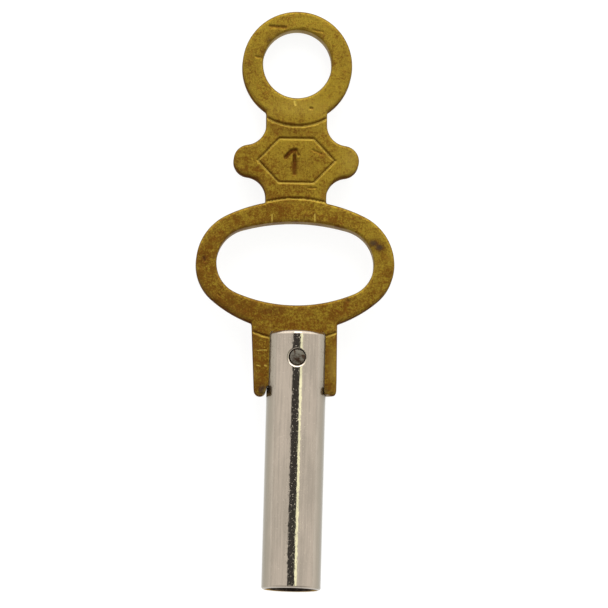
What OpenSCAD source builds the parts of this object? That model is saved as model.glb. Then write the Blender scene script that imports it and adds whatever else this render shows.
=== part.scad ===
// Winding key: a stamped brass bow pinned into the slotted end of a nickel-plated pipe.
// The key lies flat. X runs across the bow, Y along the key from mouth to ring, Z is up.
// Millimetres. The pipe is measured from its mouth, and the bow from the pin that holds it.

/* [Pipe] */
// Outside diameter of the pipe
pipe_d = 4.0; // [3.6:0.1:4.4]
// Length of the pipe from its mouth to its slotted end
pipe_length = 17.4; // [16.4:0.1:19]
// Rounding of the rim at the slotted end
top_rim_r = 0.3; // [0.1:0.05:0.35]
// Rounding of the rim at the mouth
mouth_rim_r = 0.15; // [0.1:0.05:0.3]

/* [Winding socket] */
// Width across the flats of the square socket
socket_af = 1.8; // [1.5:0.05:2.0]
// Depth of the square socket from the mouth
socket_depth = 9.0; // [7:0.5:9.5]
// Straight run of the drilled pilot hole past the end of the square
pilot_run = 2.2; // [1:0.1:2.4]
// Full angle of the drill point
drill_point_angle = 118; // [90:2:140]
// Diameter of the countersink at the mouth
mouth_countersink_d = 2.8; // [2.6:0.05:3.1]
// Full angle of the countersink at the mouth
mouth_countersink_angle = 60; // [40:5:90]

/* [Cross pin] */
// Diameter of the pin
pin_d = 1.05; // [0.8:0.05:1.2]
// Distance of the pin below the slotted end
pin_below_top = 1.84; // [1.4:0.02:2.0]
// Gap all round between the pin and its holes
pin_clearance = 0.03; // [0.01:0.01:0.06]
// Depth of each pin end below the surface of the pipe
pin_recess = 0.1; // [0.05:0.01:0.2]
// Bevel round each end of the pin
pin_bevel = 0.12; // [0.05:0.01:0.2]
// Width of the bevel round each cross hole
hole_bevel = 0.1; // [0.05:0.01:0.15]

/* [Bow plate] */
// Thickness of the plate
plate_t = 1.6; // [1.3:0.05:1.8]
// Gap on each side between the plate and the slot
slot_clearance = 0.05; // [0.02:0.01:0.1]
// Sideways offset of the bow from the axis of the pipe, at the pin
bow_offset = -0.2; // [-0.3:0.05:0.3]
// Lean of the bow on the pin, positive towards -X
bow_lean = 0.85; // [-1.5:0.05:1.5]

/* [Shank] */
// Half width of the shank
shank_half_w = 2.88; // [2.7:0.02:3.1]
// Reach of the left leg below the pin
left_leg = 2.5; // [2.4:0.05:2.8]
// Reach of the right leg below the pin
right_leg = 2.4; // [2.2:0.05:2.8]
// Reach of the tongue between the legs below the pin
tongue = 1.9; // [1.7:0.05:2.0]
// Gap between the tongue and the floor of the slot
tongue_clearance = 0.1; // [0.05:0.01:0.2]
// Gap between each leg and the wall of the pipe beside it
leg_clearance = 0.05; // [0.02:0.01:0.1]
// Narrowing of the left leg towards its tip
left_leg_taper = 0.2; // [0:0.05:0.3]
// Radius of the round tip of the left leg
left_tip_r = 0.42; // [0.3:0.02:0.45]
// Radius of the outer corner of the right leg
right_corner_r = 0.15; // [0.05:0.05:0.3]

/* [Finger loop] */
// Height of the widest part of the loop above the pin
loop_above_pin = 6.39; // [6.2:0.05:6.8]
// Half width of the loop
loop_half_w = 6.7; // [6.4:0.05:7.2]
// Rise of the loop above its widest part
loop_rise = 4.36; // [4.2:0.02:4.6]
// Drop of the loop below its widest part
loop_drop = 4.45; // [4.2:0.05:4.6]
// Shoulder radius of the upper half
loop_shoulder_r = 3.65; // [3.2:0.05:3.8]
// Hip radius of the lower half
loop_hip_r = 3.12; // [2.8:0.02:3.5]
// Height of the middle of the finger hole above the widest part of the loop
eye_rise = 0.05; // [-0.1:0.05:0.2]
// Half width of the finger hole
eye_half_w = 5.31; // [5.0:0.02:5.5]
// Half height of the finger hole
eye_half_h = 2.83; // [2.6:0.02:3.0]
// Upper corner radius of the finger hole
eye_shoulder_r = 2.43; // [2.0:0.02:2.5]
// Lower corner radius of the finger hole
eye_hip_r = 2.2; // [1.9:0.02:2.5]

/* [Waist] */
// Height of the lugs above the widest part of the loop
lug_above_loop = 7.05; // [6.9:0.05:7.4]
// Half width of the neck above and below the lugs
neck_half_w = 2.05; // [1.9:0.05:2.2]
// Half span over the lugs
lug_reach = 4.24; // [4.0:0.02:4.6]
// End radius of a lug
lug_r = 1.05; // [0.95:0.05:1.15]
// Radius of the hollows between lugs and neck
scallop_r = 1.42; // [1.2:0.02:1.6]

/* [Hanging ring] */
// Height of the middle of the ring above the lugs
ring_above_lugs = 6.45; // [6.2:0.05:6.6]
// Outside radius of the ring
ring_r = 3.71; // [3.5:0.01:4.0]
// Radius of the hole in the ring
ring_hole_r = 2.32; // [2.0:0.02:2.5]
// Height of the middle of the hole above the middle of the ring
ring_hole_rise = 0.13; // [0:0.01:0.3]

/* [Stamped lines] */
// Full angle of the V of every line
line_angle = 100; // [80:5:120]
// Width of the lines at the loop and round the hexagon
line_w = 0.22; // [0.12:0.02:0.3]
// Width of the line under the ring
ring_line_w = 0.34; // [0.2:0.02:0.4]
// Distance of the middle of that line from the edge of the ring
ring_line_gap = 0.38; // [0.2:0.02:0.4]
// Radius of the lines above and below the loop
loop_line_r = 7.6; // [7:0.1:9]
// Height of the line above the loop over its widest part
upper_line_rise = 4.49; // [4.4:0.01:4.6]
// Height of the line below the loop over the pin
lower_line_rise = 1.24; // [1.1:0.02:1.4]
// Half width of the hexagon from point to point
hexagon_half_w = 2.6; // [2.4:0.05:2.8]
// Half height of the hexagon
hexagon_half_h = 1.5; // [1.3:0.05:1.6]
// Half length of the flat sides of the hexagon
hexagon_half_flat = 1.17; // [1:0.01:1.4]

/* [Hidden] */
$fn = 96;

// Overshoot of every cut past the surface that it opens
overshoot = 1;

// Overlap of two arcs that run into each other, so that they cross in one clear point
arc_overlap = 0.006;

pipe_r = pipe_d / 2;
pin_height = pipe_length - pin_below_top;
pin_hole_r = pin_d / 2 + pin_clearance;
slot_w = plate_t + 2 * slot_clearance;
slot_floor = pin_height - tongue - tongue_clearance;
pilot_r = socket_af / 2;
pilot_depth = socket_depth + pilot_run;

// Heights in the bow's own frame, over the pin
loop_y = loop_above_pin;
eye_y = loop_y + eye_rise;
lug_y = loop_y + lug_above_loop;
ring_y = lug_y + ring_above_lugs;
upper_band_y = (loop_y + loop_rise + eye_y + eye_half_h) / 2;
lower_band_y = (loop_y - loop_drop + eye_y - eye_half_h) / 2;
lug_x = lug_reach - lug_r;

key_length = pin_height + ring_y + ring_r;

// Radius of the flat arc that joins two end arcs of radius r into an oval of half axes a and b
function crown_r(a, b, r) =
    (pow(a - r, 2) + b * b - pow(r - arc_overlap, 2)) / (2 * (b - r + arc_overlap));

// Lays the key down: pipe on the ground, middle of the key over the origin
module laid_flat() {
    translate([0, -key_length / 2, pipe_r]) children();
}

// A revolved shape whose profile, drawn along Y, stands along the key
module along_key() {
    rotate([-90, 0, 0]) rotate_extrude() children();
}

// Upper half of an oval: two end arcs of radius r, and a flat arc that crosses both
module half_oval(a, b, r) {
    crown = crown_r(a, b, r);
    end_x = a - r;
    crossing_x = end_x * crown / (crown - r + arc_overlap);
    far_x = a + overshoot;
    top = b + overshoot;
    intersection() {
        union() {
            for (side = [-1, 1]) translate([side * end_x, 0]) circle(r);
            translate([-crossing_x, 0]) square([2 * crossing_x, top]);
        }
        translate([0, b - crown]) circle(crown);
        translate([-far_x, 0]) square([2 * far_x, top]);
    }
}

// A closed oval of half width a, with its own height and corner radius above and below
module oval(a, rise, shoulder_r, drop, hip_r) {
    half_oval(a, rise, shoulder_r);
    mirror([0, 1]) half_oval(a, drop, hip_r);
}

// Web between neck and lug with its hollow, drawn for the upper right lug
module lug_web() {
    hollow_x = neck_half_w + scallop_r;
    hollow_y = sqrt(pow(scallop_r + lug_r - arc_overlap, 2) - pow(hollow_x - lug_x, 2));
    difference() {
        polygon([[0, 0], [lug_x, 0], [hollow_x, hollow_y], [0, hollow_y]]);
        translate([hollow_x, hollow_y]) circle(scallop_r);
    }
}

// The neck from ring to loop, with its two lugs
module waist() {
    translate([-neck_half_w, upper_band_y]) square([2 * neck_half_w, ring_y - upper_band_y]);
    translate([0, lug_y]) {
        for (side = [-1, 1]) translate([side * lug_x, 0]) circle(lug_r);
        for (side = [0, 1], way = [0, 1]) mirror([side, 0]) mirror([0, way]) lug_web();
    }
}

// The shank before the pipe's seat is cut: a round tip on the left, and a square corner on the right
module shank() {
    left_x = -shank_half_w + left_leg_taper;
    tip_y = left_tip_r - left_leg;
    corner_x = shank_half_w - right_corner_r;
    corner_y = right_corner_r - right_leg;
    polygon([
        [-shank_half_w, lower_band_y],
        [-shank_half_w, loop_y - loop_drop],
        [left_x, tip_y],
        [left_x + 2 * left_tip_r, tip_y],
        [left_x + 2 * left_tip_r, -right_leg],
        [corner_x, -right_leg],
        [corner_x, corner_y],
        [shank_half_w, corner_y],
        [shank_half_w, lower_band_y]
    ]);
    translate([left_x + left_tip_r, tip_y]) circle(left_tip_r);
    translate([corner_x, corner_y]) circle(right_corner_r);
}

// The stamped outline with its two holes
module bow_outline() {
    difference() {
        union() {
            translate([0, ring_y]) circle(ring_r);
            waist();
            translate([0, loop_y]) oval(loop_half_w, loop_rise, loop_shoulder_r, loop_drop, loop_hip_r);
            shank();
        }
        translate([0, ring_y + ring_hole_rise]) circle(ring_hole_r);
        translate([0, eye_y]) oval(eye_half_w, eye_half_h, eye_shoulder_r, eye_half_h, eye_hip_r);
    }
}

// Section of a V line of width w at the surface, carried on above it by half the line's depth
module line_section(w) {
    flank = tan(line_angle / 2);
    depth = w / 2 / flank;
    top = depth / 2;
    top_x = w / 2 + top * flank;
    polygon([[0, -depth], [top_x, top], [-top_x, top]]);
}

// A V line round the top of a circle of radius r, over half_span to each side
module arc_line(r, w, half_span) {
    half_angle = asin(half_span / r);
    rotate([0, 0, 90 - half_angle]) rotate_extrude(angle = 2 * half_angle)
        translate([r, 0]) line_section(w);
}

// A straight V line between two points, run on by half its width to close the corners
module straight_line(from, to, w) {
    run = to - from;
    translate([from[0], from[1], 0]) rotate([0, 0, atan2(run[1], run[0])]) translate([-w / 2, 0, 0])
        rotate([90, 0, 90]) linear_extrude(norm(run) + w) line_section(w);
}

// The outline of the hexagon as six straight lines
module hexagon_line() {
    corners = [
        [hexagon_half_w, 0],
        [hexagon_half_flat, hexagon_half_h],
        [-hexagon_half_flat, hexagon_half_h],
        [-hexagon_half_w, 0],
        [-hexagon_half_flat, -hexagon_half_h],
        [hexagon_half_flat, -hexagon_half_h]
    ];
    for (i = [0 : len(corners) - 1])
        straight_line(corners[i], corners[(i + 1) % len(corners)], line_w);
}

// The lines struck into the front of the plate, each run out past the edges that it crosses
module stamped_lines() {
    translate([0, ring_y, 0]) mirror([0, 1, 0])
        arc_line(ring_r + ring_line_gap, ring_line_w, neck_half_w + ring_line_w);
    translate([0, lug_y, 0]) hexagon_line();
    translate([0, loop_y + upper_line_rise - loop_line_r, 0])
        arc_line(loop_line_r, line_w, neck_half_w + line_w);
    translate([0, lower_line_rise + loop_line_r, 0]) mirror([0, 1, 0])
        arc_line(loop_line_r, line_w, shank_half_w + line_w);
}

// Straight hole for the pin, through bow and pipe alike
module pin_hole() {
    translate([0, pin_height, -pipe_d]) cylinder(h = 2 * pipe_d, r = pin_hole_r);
}

// The seat that leaves a tongue for the slot, between two legs beside the pipe
module pipe_seat() {
    half = pipe_r + leg_clearance;
    below = max(left_leg, right_leg) + overshoot;
    translate([-half, pin_height - below, -plate_t]) cube([2 * half, below - tongue, 2 * plate_t]);
}

module bow() {
    color("darkgoldenrod") laid_flat() difference() {
        translate([bow_offset, pin_height, 0]) rotate([0, 0, bow_lean]) difference() {
            translate([0, 0, -plate_t / 2]) linear_extrude(plate_t) bow_outline();
            translate([0, 0, plate_t / 2]) stamped_lines();
        }
        pin_hole();
        pipe_seat();
    }
}

// What a rounding of radius r takes off the upper right corner of a square
module corner_waste(r) {
    difference() {
        square(r + overshoot);
        circle(r);
    }
}

// Half of the pipe's section, with a rounded rim at both ends
module pipe_section() {
    difference() {
        square([pipe_r, pipe_length]);
        translate([pipe_r - top_rim_r, pipe_length - top_rim_r]) corner_waste(top_rim_r);
        translate([pipe_r - mouth_rim_r, mouth_rim_r]) mirror([0, 1]) corner_waste(mouth_rim_r);
    }
}

// Half section of the drilled pilot hole with its drill point
module pilot_section() {
    point = pilot_r / tan(drill_point_angle / 2);
    polygon([[0, -overshoot], [pilot_r, -overshoot], [pilot_r, pilot_depth], [0, pilot_depth + point]]);
}

// Half section of the countersink at the mouth
module countersink_section() {
    sink_r = mouth_countersink_d / 2;
    polygon([[0, 0], [sink_r, 0], [0, sink_r / tan(mouth_countersink_angle / 2)]]);
}

// The square socket, its flats parallel to the plate
module square_socket() {
    translate([-socket_af / 2, -overshoot, -socket_af / 2])
        cube([socket_af, socket_depth + overshoot, socket_af]);
}

// The slot across the upper end, open at both sides and at the top
module slot() {
    translate([-pipe_d, slot_floor, -slot_w / 2])
        cube([2 * pipe_d, pipe_length - slot_floor + overshoot, slot_w]);
}

// Bevels where the cross hole leaves the front and the back of the pipe
module hole_bevels() {
    for (way = [0, 1]) mirror([0, 0, way]) translate([0, pin_height, pipe_r - 2 * hole_bevel])
        cylinder(h = 3 * hole_bevel, r1 = pin_hole_r - hole_bevel, r2 = pin_hole_r + 2 * hole_bevel);
}

module pipe() {
    color("silver") laid_flat() difference() {
        along_key() pipe_section();
        along_key() pilot_section();
        along_key() countersink_section();
        square_socket();
        slot();
        pin_hole();
        hole_bevels();
    }
}

module pin() {
    half = pipe_r - pin_recess;
    r = pin_d / 2;
    color("slategray") laid_flat() translate([0, pin_height, 0]) rotate_extrude()
        polygon([
            [0, -half],
            [r - pin_bevel, -half],
            [r, -half + pin_bevel],
            [r, half - pin_bevel],
            [r - pin_bevel, half],
            [0, half]
        ]);
}

bow();
pipe();
pin();
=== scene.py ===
"""Winding key: the looks of its bow, pipe and pin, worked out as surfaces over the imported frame."""
import math
from functools import cached_property

import bmesh
import bpy
import numpy as np
from bpy.props import FloatProperty, FloatVectorProperty, PointerProperty
from bpy.types import Operator, Panel, PropertyGroup
from mathutils import Matrix, Vector
from mathutils.geometry import delaunay_2d_cdt


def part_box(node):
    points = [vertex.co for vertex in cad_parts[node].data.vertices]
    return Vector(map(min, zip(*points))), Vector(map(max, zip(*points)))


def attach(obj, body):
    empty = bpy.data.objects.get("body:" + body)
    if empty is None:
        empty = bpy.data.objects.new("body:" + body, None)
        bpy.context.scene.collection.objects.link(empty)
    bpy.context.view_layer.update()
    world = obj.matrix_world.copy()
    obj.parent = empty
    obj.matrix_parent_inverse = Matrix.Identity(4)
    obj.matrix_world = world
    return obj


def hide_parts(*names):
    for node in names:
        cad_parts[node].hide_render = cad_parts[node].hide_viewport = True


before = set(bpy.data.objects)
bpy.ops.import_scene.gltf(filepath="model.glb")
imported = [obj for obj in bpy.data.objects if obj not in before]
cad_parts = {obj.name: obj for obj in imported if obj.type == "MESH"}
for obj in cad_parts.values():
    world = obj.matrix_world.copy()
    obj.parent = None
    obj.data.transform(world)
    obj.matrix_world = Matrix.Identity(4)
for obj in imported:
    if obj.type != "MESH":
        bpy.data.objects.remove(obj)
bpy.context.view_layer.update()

bl_info = {
    "name": "Winding key",
    "version": (1, 0, 0),
    "blender": (4, 5, 0),
    "location": "3D View > Sidebar > Winding key",
    "description": "Builds the looks of a brass and nickel winding key",
    "category": "Add Mesh",
}

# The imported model, in metres
BOW_LOW, BOW_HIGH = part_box("bow")
PIPE_LOW, PIPE_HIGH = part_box("pipe")
PIN_LOW, PIN_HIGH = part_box("pin")
PIPE_R = (PIPE_HIGH[2] - PIPE_LOW[2]) / 2
AXIS_X = (PIPE_HIGH[0] + PIPE_LOW[0]) / 2
AXIS_Z = (PIPE_HIGH[2] + PIPE_LOW[2]) / 2
PIPE_LENGTH = PIPE_HIGH[1] - PIPE_LOW[1]
PLATE_HALF = (BOW_HIGH[2] - BOW_LOW[2]) / 2
PIN_R = (PIN_HIGH[0] - PIN_LOW[0]) / 2
PIN_HALF = (PIN_HIGH[2] - PIN_LOW[2]) / 2
PIN_Y = (PIN_HIGH[1] + PIN_LOW[1]) / 2

MM = 0.001
QUARTER = math.pi / 2

# Steps along the bow's outline and across its faces, and how many steps a face's points keep off its rims
LOOP_STEP = 0.06 * MM
FACE_STEP, FINE_STEP, BACK_STEP = 0.12 * MM, 0.05 * MM, 0.3 * MM
CLEAR_STEPS = 0.4
# Points of an arc and of the ring's hole, rows of the rounded edges and columns across the slot
ARC_POINTS, RING_POINTS = 60, 240
ROUND_ROWS, RIM_ROWS, TUBE_ROWS, SLOT_COLUMNS = 7, 9, 60, 25
PIN_DOME_ROWS, PIN_BEVEL_ROWS, PIN_SIDES = 8, 6, 64
# Half of the square block round the cross hole, and the faces along it and from it to the slot's edges,
# to the slot's floor and to the rim; then the rows of the rings inside it
HOLE_BLOCK = 1.0 * MM
BLOCK_FACES, SIDE_FACES, FLOOR_FACES, RIM_FACES = 32, 21, 13, 7
SPOKE_ROWS, THROUGH_ROWS = 12, 4
# Least thickness of the pipe's rim by the slot, distance under which points are one, angles of hard edges
THIN_RIM, SEAM = 0.01 * MM, 0.0005 * MM
BOW_SHARP, PIPE_SHARP, PIN_SHARP = (math.radians(v) for v in (60, 25, 40))
# The fill's kind and tolerance, points measured at once, and a distance that is past everything, in metres
FILL_INSIDE, FILL_NEAR = 1, 1e-7
CHUNK = 1500
FAR_AWAY = 1

# Struck lines and strokes: rounding and height of the burr, dirt with painted shade on a line's upper
# flank and a painted highlight on its lower flank and how far these lie off its middle, the depth that is
# full of dirt, and the margin of fine mesh
LINE_SOFT, LINE_BURR = 0.03 * MM, 0.012 * MM
STROKE_SOFT, STROKE_BURR = 0.1, 0.2
LINE_DIRT_AND_SHADE, LINE_HIGHLIGHT, LINE_SHADE = 0.5, 0.8, 0.06 * MM
FULL_DIRT = 0.09 * MM
MARK_MARGIN = 0.12 * MM
# Place and width of the burrs, and start and slope of the fades from a cut's middle, in half widths
LINE_RIDGE, STROKE_RIDGE = (1.6, 0.5), (1.5, 0.4)
DIRT_AND_SHADE_FADE, HIGHLIGHT_FADE, STROKE_FADE = (1.2, 1.3), (1.1, 1.3), (1.4, 1)
# The front's swell: its height, and its waves as radians per millimetre across and along, phase, weight
SWELL = 0.003 * MM
SWELL_WAVES = ((1.9, 0.7, 0, 1), (-0.8, 1.3, 1, 1), (3.1, -2.3, 0, 0.6))

# Wear of the bow: reach of the rubbing, the share of the sides' tarnish and painted shade kept in the
# holes, and the share of an outward corner's radius that its rounding may take
RUB_REACH = 0.16 * MM
HOLE_TARNISH_AND_SHADE = 0.32
TIGHT_BEND = 0.6
# The pipe's unevenness, over how much length it grows from nought at the slot's floor, and its waves as
# radians per millimetre of length, waves round the pipe and weight
UNEVEN, UNEVEN_FADE = 0.0012 * MM, 1.0 * MM
WALL_WAVES = ((0.9, 2, 1), (0.37, -1, 0.7), (0, 5, 0.4))
# Wear of the pipe: how far the slot is pressed out, the side on which the cross hole's rim is least worn,
# and reach and strength of the painted shade in the mouth, the cross hole and beside the legs and of the
# darkening along the slot
PRESS = 0.3
LEAST_WORN = math.radians(45)
WEAR, LEG_SHADE_REACH = 0.08 * MM, 0.35 * MM
MOUTH_SHADE, LEG_SHADE = 0.85, 0.35
LEG_SHADE_DOWN, LEG_SHADE_UP = 1.0 * MM, 0.625 * MM

# The floor's half width in lengths of the pipe, and the paper's colour, roughness, sheen and glow
FLOOR_SPAN = 30
PAPER, PAPER_ROUGH, PAPER_SHEEN, PAPER_GLOW = (0.2, 0.2, 0.2), 0.9, 0.1, 0.88
# The lamp's width and place, in lengths of the pipe
LAMP_WIDTH, LAMP_PLACE = 3, (0.2, 5, 5)
# The light tent: edges of its dark gap and bright strip as angles over the key, middle and width of each
# fade along the key, brightness at its foot and gain above that, and the tints of tent and strip
GAP_LOW, GAP_HIGH, STRIP_HIGH, TENT_BLUR = (math.radians(v) for v in (-18, 11, 20, 1.2))
GAP_START, GAP_END, TENT_FOOT, TENT_FAR = (-0.5, 0.2), (0.38, 0.12), (-0.35, 0.5), (0.35, 0.25)
FOOT_LEVEL, TOP_GAIN = 0.55, 0.4
TENT_TINT, STRIP_TINT = (1, 0.985, 0.96), (0.93, 1, 0.76)


def length(name, description, mm):
    """A length property, its default given in millimetres."""
    return FloatProperty(name=name, description=description, default=mm * MM, unit="LENGTH", precision=5)


def angle(name, description, degrees):
    """An angle property, its default given in degrees."""
    radians = math.radians(degrees)
    return FloatProperty(name=name, description=description, default=radians, unit="ROTATION")


def colour(name, description, *rgb):
    """A colour property in linear light."""
    return FloatVectorProperty(
        name=name, description=description, default=rgb, subtype="COLOR", min=0, max=1,
    )


def factor(name, description, value):
    """A plain number between nought and a few."""
    return FloatProperty(
        name=name, description=description, default=value, min=0, soft_max=4, subtype="FACTOR",
    )


# Settings that a user would change

class BowSizes(PropertyGroup):
    """Sizes of the stamped bow, measured from the pin."""
    lean: angle("Lean", "Lean of the bow on the pin", 0.85)
    offset: length("Offset", "Sideways offset of the bow from the axis of the pipe", -0.2)
    edge_r: length("Front edge", "Rounding of the worn front edges", 0.17)
    back_edge_r: length("Back edge", "Rounding of the back edges", 0.12)
    corner_ease: length("Corner ease", "Width over which corners of the outline are worn round", 0.08)
    ring_y: length("Ring height", "Height of the middle of the ring above the pin", 19.89)
    ring_r: length("Ring", "Outside radius of the ring", 3.71)
    ring_hole_r: length("Ring hole", "Radius of the hole in the ring", 2.32)
    ring_hole_rise: length("Ring hole rise", "Height of the hole's middle above the ring's middle", 0.13)
    neck: length("Neck", "Half width of the neck", 2.05)
    lug_y: length("Lug height", "Height of the lugs above the pin", 13.44)
    lug_reach: length("Lug reach", "Half span over the lugs", 4.24)
    lug_r: length("Lug", "End radius of a lug", 1.05)
    scallop_r: length("Scallop", "Radius of the hollows between lugs and neck", 1.42)
    loop_y: length("Loop height", "Height of the widest part of the loop above the pin", 6.39)
    loop_half_w: length("Loop half width", "Half width of the finger loop", 6.7)
    loop_rise: length("Loop rise", "Rise of the loop above its widest part", 4.36)
    loop_drop: length("Loop drop", "Drop of the loop below its widest part", 4.45)
    loop_shoulder_r: length("Loop shoulder", "End radius of the loop's upper half", 3.65)
    loop_hip_r: length("Loop hip", "End radius of the loop's lower half", 3.12)
    eye_y: length("Eye height", "Height of the middle of the finger hole above the pin", 6.44)
    eye_half_w: length("Eye half width", "Half width of the finger hole", 5.31)
    eye_half_h: length("Eye half height", "Half height of the finger hole", 2.83)
    eye_shoulder_r: length("Eye shoulder", "Upper corner radius of the finger hole", 2.43)
    eye_hip_r: length("Eye hip", "Lower corner radius of the finger hole", 2.2)
    shank: length("Shank", "Half width of the shank", 2.88)
    left_leg: length("Left leg", "Reach of the left leg below the pin", 2.5)
    left_taper: length("Left taper", "Narrowing of the left leg towards its tip", 0.2)
    left_tip_r: length("Left tip", "Radius of the left leg's tip", 0.42)
    right_leg: length("Right leg", "Reach of the right leg below the pin", 2.4)
    right_corner_r: length("Right corner", "Radius of the right leg's outer corner", 0.2)
    seat_edge_r: length("Seat edge", "Rounding of the edges beside and below the tongue", 0.04)
    tongue: length("Tongue", "Reach of the tongue below the pin", 1.9)
    hug: factor("Hug", "Share by which the right leg follows the round of the pipe beside it", 1.0)
    hug_reach: length("Hug reach", "Distance over which that fades out", 0.45)
    leg_clearance: length("Leg clearance", "Gap between each leg and the pipe's wall beside it", 0.025)
    line_w: length("Line width", "Width of the struck lines", 0.2)
    ring_line_w: length("Ring line width", "Width of the struck line under the ring", 0.24)
    ring_line_gap: length("Ring line gap", "Distance of that line from the edge of the ring", 0.38)
    line_slope: angle("Line slope", "Half angle of the V of a struck line", 43)
    loop_line_r: length("Loop line radius", "Radius of the lines above and below the loop", 7.6)
    upper_line_y: length("Upper line", "Height of the line above the loop over the pin", 10.88)
    lower_line_y: length("Lower line", "Height of the line below the loop over the pin", 1.24)
    hexagon_w: length("Hexagon half width", "Half width of the hexagon from point to point", 2.6)
    hexagon_h: length("Hexagon half height", "Half height of the hexagon", 1.5)
    hexagon_flat: length("Hexagon half flat", "Half length of the flat sides of the hexagon", 1.17)


class PipeSizes(PropertyGroup):
    """Sizes of the pipe, measured from its mouth, and of its pin."""
    top_rim_r: length("Top rim", "Rounding of the rim at the slotted end", 0.3)
    mouth_rim_r: length("Mouth rim", "Rounding of the rim at the mouth", 0.15)
    slot_half: length("Slot half width", "Half width of the slot across the upper end", 0.85)
    slot_floor: length("Slot floor", "Height of the slot's floor above the mouth", 13.56)
    socket_half: length("Socket half width", "Half width of the square socket", 0.9)
    socket_depth: length("Socket depth", "Depth of the square socket", 9.0)
    pilot_depth: length("Pilot depth", "Depth of the drilled hole behind the square", 11.2)
    point_angle: angle("Drill point", "Half angle of the drill point", 59)
    countersink_r: length("Countersink", "Radius of the countersink at the mouth", 1.4)
    countersink_slope: angle("Countersink slope", "Half angle of the countersink", 30)
    hole_r: length("Cross hole", "Radius of the hole for the pin", 0.555)
    hole_rim_r: length("Cross hole rim", "Rounding where the cross hole leaves the pipe", 0.14)
    hole_wear: factor("Cross hole wear", "Share by which that rounding is wider at the lower left", 0.55)
    flare: angle("Flare", "Angle round the pipe below which the slot's edges are pressed out", 45)
    pin_bevel: length("Pin bevel", "Bevel round each end of the pin", 0.06)
    pin_dome: length("Pin dome", "Height of the domed ends of the pin", 0.03)


class Finishes(PropertyGroup):
    """Colours of the metals."""
    brass: colour("Brass", "Clean brass of the bow", 0.285, 0.19, 0.021)
    patina: colour("Patina", "Brown patina of the bow", 0.14, 0.06, 0.0075)
    # The stain colour also darkens the sides as tarnish and painted shade, and paints the shade by the
    # ring's hole and the legs
    stain_and_shade: colour("Stain", "Dark stains on the bow", 0.085, 0.03, 0.007)
    copper: colour("Copper", "Reddish patches on the bow", 0.19, 0.068, 0.011)
    # Rubbed brass also paints the highlight on the lower flank of each struck line
    rubbed: colour("Rubbed brass", "Bright brass of rubbed edges, patches and scratches", 0.45, 0.33, 0.06)
    # Soot also paints the shade in the pipe's mouth, cross hole and beside the legs, and the strongest
    # painted shade on the bow
    soot: colour("Soot", "Dark dirt in the pipe and in the bow's strongest stains", 0.05, 0.034, 0.024)
    # Grime also paints the shade on the upper flank of each struck line
    grime: colour("Grime", "Dirt in the struck lines and in the pits of the nickel", 0.095, 0.03, 0.005)
    nickel: colour("Nickel", "Nickel plate of the pipe", 0.5, 0.43, 0.355)
    nickel_worn: colour("Worn nickel", "Duller nickel between the scratches", 0.39, 0.34, 0.28)
    # Painted shade: the nickel darkens down the pipe's sides as seen from above
    nickel_painted_shade: colour("Painted shade on nickel", "Nickel down the sides of the pipe", 0.295, 0.262, 0.202)
    # Worn brass at the mouth, shown on the rim's back half only as a painted highlight
    base_metal: colour("Base metal", "Brass that shows through the worn rim of the mouth", 0.5, 0.33, 0.11)
    pin: colour("Pin", "Dull steel of the pin", 0.17, 0.155, 0.13)
    pin_dark: colour("Pin grime", "Dirt on the pin", 0.05, 0.028, 0.018)


class StageSettings(PropertyGroup):
    """The camera's place and the light."""
    pitch: angle("Pitch", "Tilt of the camera towards the mouth", 6.46)
    yaw: angle("Yaw", "Turn of the camera to the left", 1.5)
    roll: angle("Roll", "Turn of the picture", -1.49)
    frame_w: length("Frame width", "Width of the picture at the key", 41.034)
    aim_x: length("Aim across", "Picture's middle to the right of the middle of the key", 0.38)
    aim_y: length("Aim along", "Picture's middle above the middle of the key", -0.241)
    lens: FloatProperty(
        name="Lens", description="Focal length in multiples of the sensor's width", default=14, min=1,
    )
    tent: factor("Tent", "Brightness of the light tent", 1.1)
    far: factor("Far end", "Brightness that the tent gains beyond the ring", 1.0)
    gap: factor("Gap", "Brightness of the dark gap in the tent that the camera looks through", 0.085)
    strip: factor("Strip", "Brightness of the strip of light beside the gap", 2.3)
    key: FloatProperty(
        name="Key lamp", description="Power of the lamp over the ring", default=0.03, min=0, unit="POWER",
    )


# Lines and arcs on a plane, as complex numbers x + iy

def arc(centre, radius, start, end, count=ARC_POINTS):
    """Points of a circle: centre + radius * exp(i t), with t running evenly from start to end."""
    return centre + radius * np.exp(1j * np.linspace(start, end, count))


def oval_quarter(middle, a, b, r, start_x):
    """Upper right quarter of an oval from x = start_x to its widest point.

    A flat arc through the top, of radius (a^2 + b^2 - 2 a r) / (2 (b - r)), touches an end arc of
    radius r.
    """
    crown = (a * a + b * b - 2 * a * r) / (2 * (b - r))
    sink = crown - b
    touch = math.atan2(sink, a - r)
    flat = arc(1j * (middle - sink), crown, math.acos(start_x / crown), touch)
    return np.concatenate([flat, arc(a - r + 1j * middle, r, touch, 0)])


def upside_down(points, middle):
    """The points mirrored about the height middle, and run through backwards."""
    return (np.conj(points) + 2j * middle)[::-1]


def side_to_side(points):
    """The points mirrored from right to left, and run through backwards."""
    return -np.conj(points)[::-1]


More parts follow.
